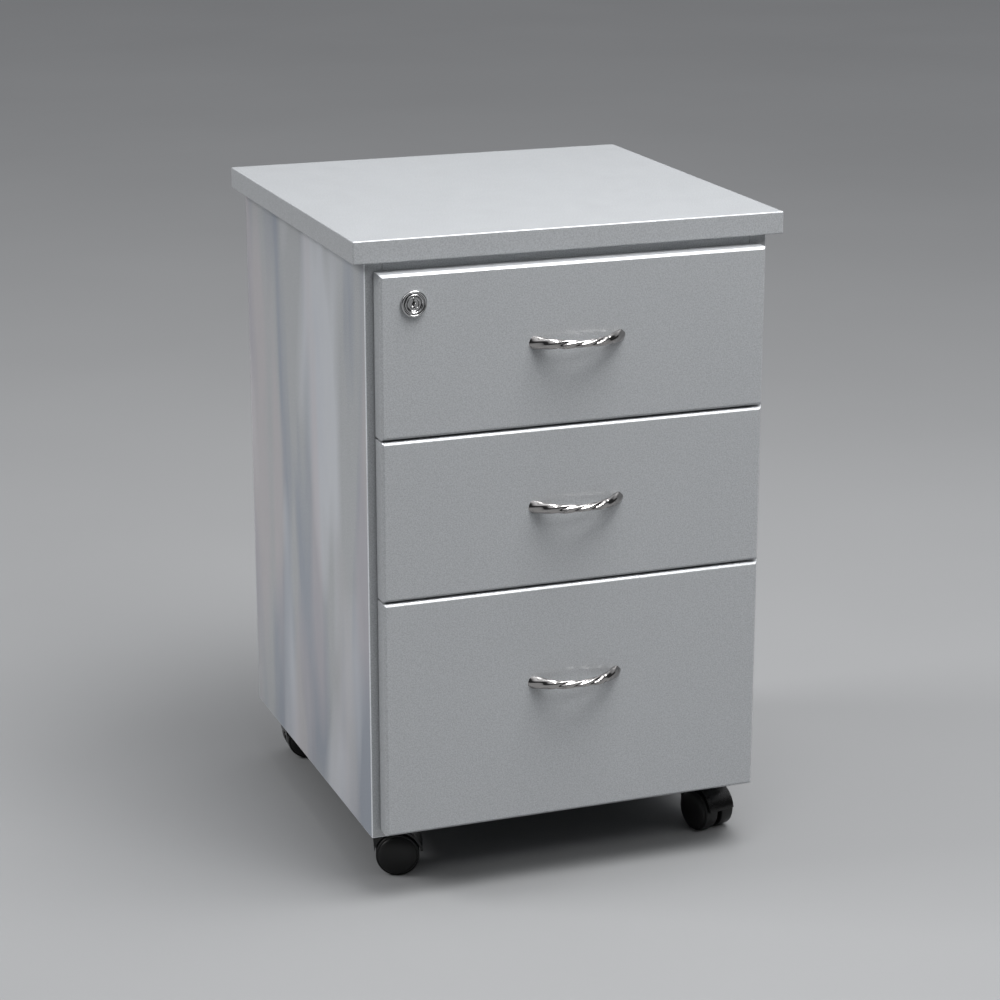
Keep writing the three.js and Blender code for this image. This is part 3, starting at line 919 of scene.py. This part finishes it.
def caster_hood(name, stand, swivel, trail, axle_height):
    """The fender, bored for the kingpin, and the web between the wheels."""
    top = corners(f"{name}_caster_hood")[1].z - axle_height
    fender = prism_mesh(hood_outline(trail, top), -HOOD_HALF_WIDTH, HOOD_HALF_WIDTH)
    hood = finished(f"{name}_hood_shell", fender, HOOD_NYLON, 28)
    rounded(hood, 0.7 * MM, 3, 40)
    settle(hood)
    put(hood, stand)
    socket_bottom = corners(f"{name}_caster_plate")[0].z - 0.3 * MM
    socket_radius = KING_RADIUS + 0.1 * MM
    past = 100 * MM
    bore = [(0, socket_bottom), (socket_radius, socket_bottom), (socket_radius, past), (0, past)]
    socket = finished("socket", lathe_mesh(bore, 32), HOOD_NYLON)
    carved(hood, put(socket, Matrix.Translation((swivel[0], swivel[1], 0))))
    place(hood, f"{name}_swivel", "caster_plastic", f"{name}_caster_hood")

    web_outline = arc((0, 0), WEB_RADIUS, HOOD_LIP, 180 - HOOD_LIP, 40)
    web_outline += arc((0, 0), AXLE_BOSS, 180, 360, 20)
    web_mesh = prism_mesh(web_outline, -WEB_HALF, WEB_HALF)
    web = finished(f"{name}_hood_web", web_mesh, HOOD_NYLON, 28)
    rounded(web, 0.5 * MM, 2, 40)
    settle(web)
    put(web, stand)
    place(web, f"{name}_swivel", "caster_plastic")


def caster_axle(name, axle, centre):
    chamfer = 0.4 * MM
    tip = AXLE_RADIUS - chamfer
    rod = [(0, -AXLE_HALF), (tip, -AXLE_HALF), (AXLE_RADIUS, chamfer - AXLE_HALF)]
    rod += [(AXLE_RADIUS, AXLE_HALF - chamfer), (tip, AXLE_HALF), (0, AXLE_HALF)]
    pin = finished(f"{name}_axle_rod", lathe_mesh(rod, 32), CASTER_STEEL, 40)
    put(pin, towards(axle, centre))
    place(pin, f"{name}_swivel", "caster_steel", f"{name}_caster_axle")


def caster_wheels(name, axle, centre):
    for letter, sign in (("a", 1), ("b", -1)):
        wheel_mesh = lathe_mesh(wheel_profile(), 96)
        wheel = finished(f"{name}_wheel_{letter}_moulded", wheel_mesh, WHEEL_NYLON, 35)
        put(wheel, towards(sign * axle, centre))
        body = f"{name}_wheel_{letter}"
        place(wheel, body, "caster_plastic", f"{name}_caster_wheel_{letter}")


def caster_plate(name, swivel):
    """The round plate with its kingpin and a shallow groove about it, and the four sunk screws."""
    low, high = corners(f"{name}_caster_plate")
    underside = high.z - low.z - PLATE_SHEET
    step = 0.4 * MM
    points = [(0, 0), (KING_RADIUS - step, 0), (KING_RADIUS, step), (KING_RADIUS, underside)]
    points += [(7 * MM, underside), (7.6 * MM, underside - step)]
    points += [(8.6 * MM, underside - step), (9.2 * MM, underside)]
    points += [(PLATE_RADIUS - 0.6 * MM, underside), (PLATE_RADIUS, underside + 0.6 * MM)]
    points += [(PLATE_RADIUS, high.z - low.z), (0, high.z - low.z)]
    plate = finished(f"{name}_plate_turned", lathe_mesh(points, 64), CASTER_STEEL, 35)
    put(plate, Matrix.Translation((swivel[0], swivel[1], low.z)))
    place(plate, "carcass", "caster_steel", f"{name}_caster_plate")
    heads = []
    for quarter in range(4):
        angle = math.radians(45 + 90 * quarter)
        x = swivel[0] + PLATE_SCREW_CIRCLE * math.cos(angle)
        y = swivel[1] + PLATE_SCREW_CIRCLE * math.sin(angle)
        spot = (x, y, high.z - PLATE_SHEET + PLATE_SCREW_SUNK)
        heads.append(((0, 0, -1), spot, PLATE_SCREW_HEAD))
    screws(f"{name}_plate_screws", "carcass", "caster_steel", heads)


def caster(name):
    swivel = JOINTS[f"{name}_swivel"]["pos_m"]
    spin = JOINTS[f"{name}_wheel_a_spin"]
    axle = Vector(spin["axis"]).normalized()
    centre = Vector(spin["pos_m"])
    trail = (centre - Vector((swivel[0], swivel[1], centre.z))).length
    # The hood is drawn about the axle, with x away from the kingpin and y along the axle
    stand = Matrix((
        (axle.y, axle.x, 0, centre.x),
        (-axle.x, axle.y, 0, centre.y),
        (0, 0, 1, centre.z),
        (0, 0, 0, 1),
    ))
    caster_hood(name, stand, swivel, trail, centre.z)
    caster_axle(name, axle, centre)
    caster_wheels(name, axle, centre)
    caster_plate(name, swivel)


for caster_name in CASTERS:
    caster(caster_name)
bpy.data.objects.remove(HEAD, do_unlink=True)


# ---------------------------------------------------------------- studio


SKY_LOW = (0.035, 0.036, 0.038, 1)
SKY_HIGH = (0.95, 0.96, 0.99, 1)
SKY_LOW_AT = 0.42
SKY_HIGH_AT = 0.85
SKY_STRENGTH = 1.25


def backdrop():
    """The pale floor, and a sky that goes from near black below the horizon to white overhead."""
    bm = bmesh.new()
    bmesh.ops.create_grid(bm, x_segments=1, y_segments=1, size=30)
    floor = finished("floor", bm, floor_finish())
    world = bpy.context.scene.world or bpy.data.worlds.new("studio")
    bpy.context.scene.world = world
    world.use_nodes = True
    nodes, links = world.node_tree.nodes, world.node_tree.links
    sky = nodes["Background"]
    spot = nodes.new("ShaderNodeTexCoord").outputs["Generated"]
    height = nodes.new("ShaderNodeSeparateXYZ")
    links.new(spot, height.inputs[0])
    ramp = nodes.new("ShaderNodeValToRGB")
    links.new(height.outputs["Z"], ramp.inputs["Fac"])
    low, high = ramp.color_ramp.elements
    low.position = SKY_LOW_AT
    low.color = SKY_LOW
    high.position = SKY_HIGH_AT
    high.color = SKY_HIGH
    links.new(ramp.outputs["Color"], sky.inputs["Color"])
    sky.inputs["Strength"].default_value = SKY_STRENGTH


def softbox(name, place_at, aim, size, power):
    data = bpy.data.lights.new(name, "AREA")
    data.shape = "RECTANGLE"
    data.size, data.size_y = size
    data.energy = power
    made = bpy.data.objects.new(name, data)
    bpy.context.scene.collection.objects.link(made)
    made.location = place_at
    direction = Vector(aim) - Vector(place_at)
    made.rotation_euler = direction.to_track_quat("-Z", "Y").to_euler()


def camera():
    """The photograph's viewpoint, fitted to the corners of its boards: from the left of the front and a
    little above the top."""
    data = bpy.data.cameras.new("camera")
    data.sensor_width = 36
    data.lens = 97.79
    made = bpy.data.objects.new("camera", data)
    bpy.context.scene.collection.objects.link(made)
    made.location = (-0.8552, -2.3064, 1.0423)
    made.rotation_euler = (math.radians(90 - 16.684), 0, math.radians(-20.32))
    bpy.context.scene.camera = made


backdrop()
softbox("overhead", (0.45, -0.7, 2.5), aim=(0.1, -0.2, 0.4), size=(1.45, 1.2), power=82)
softbox("front_fill", (2.6, -4.0, 4.2), aim=(0, 0, 0.35), size=(1.8, 1.2), power=74)
softbox("left_fill", (-3.9, 1.0, 3.4), aim=(0, 0.1, 0.3), size=(1.6, 1.6), power=142)
camera()
bpy.context.scene.view_settings.view_transform = "Standard"
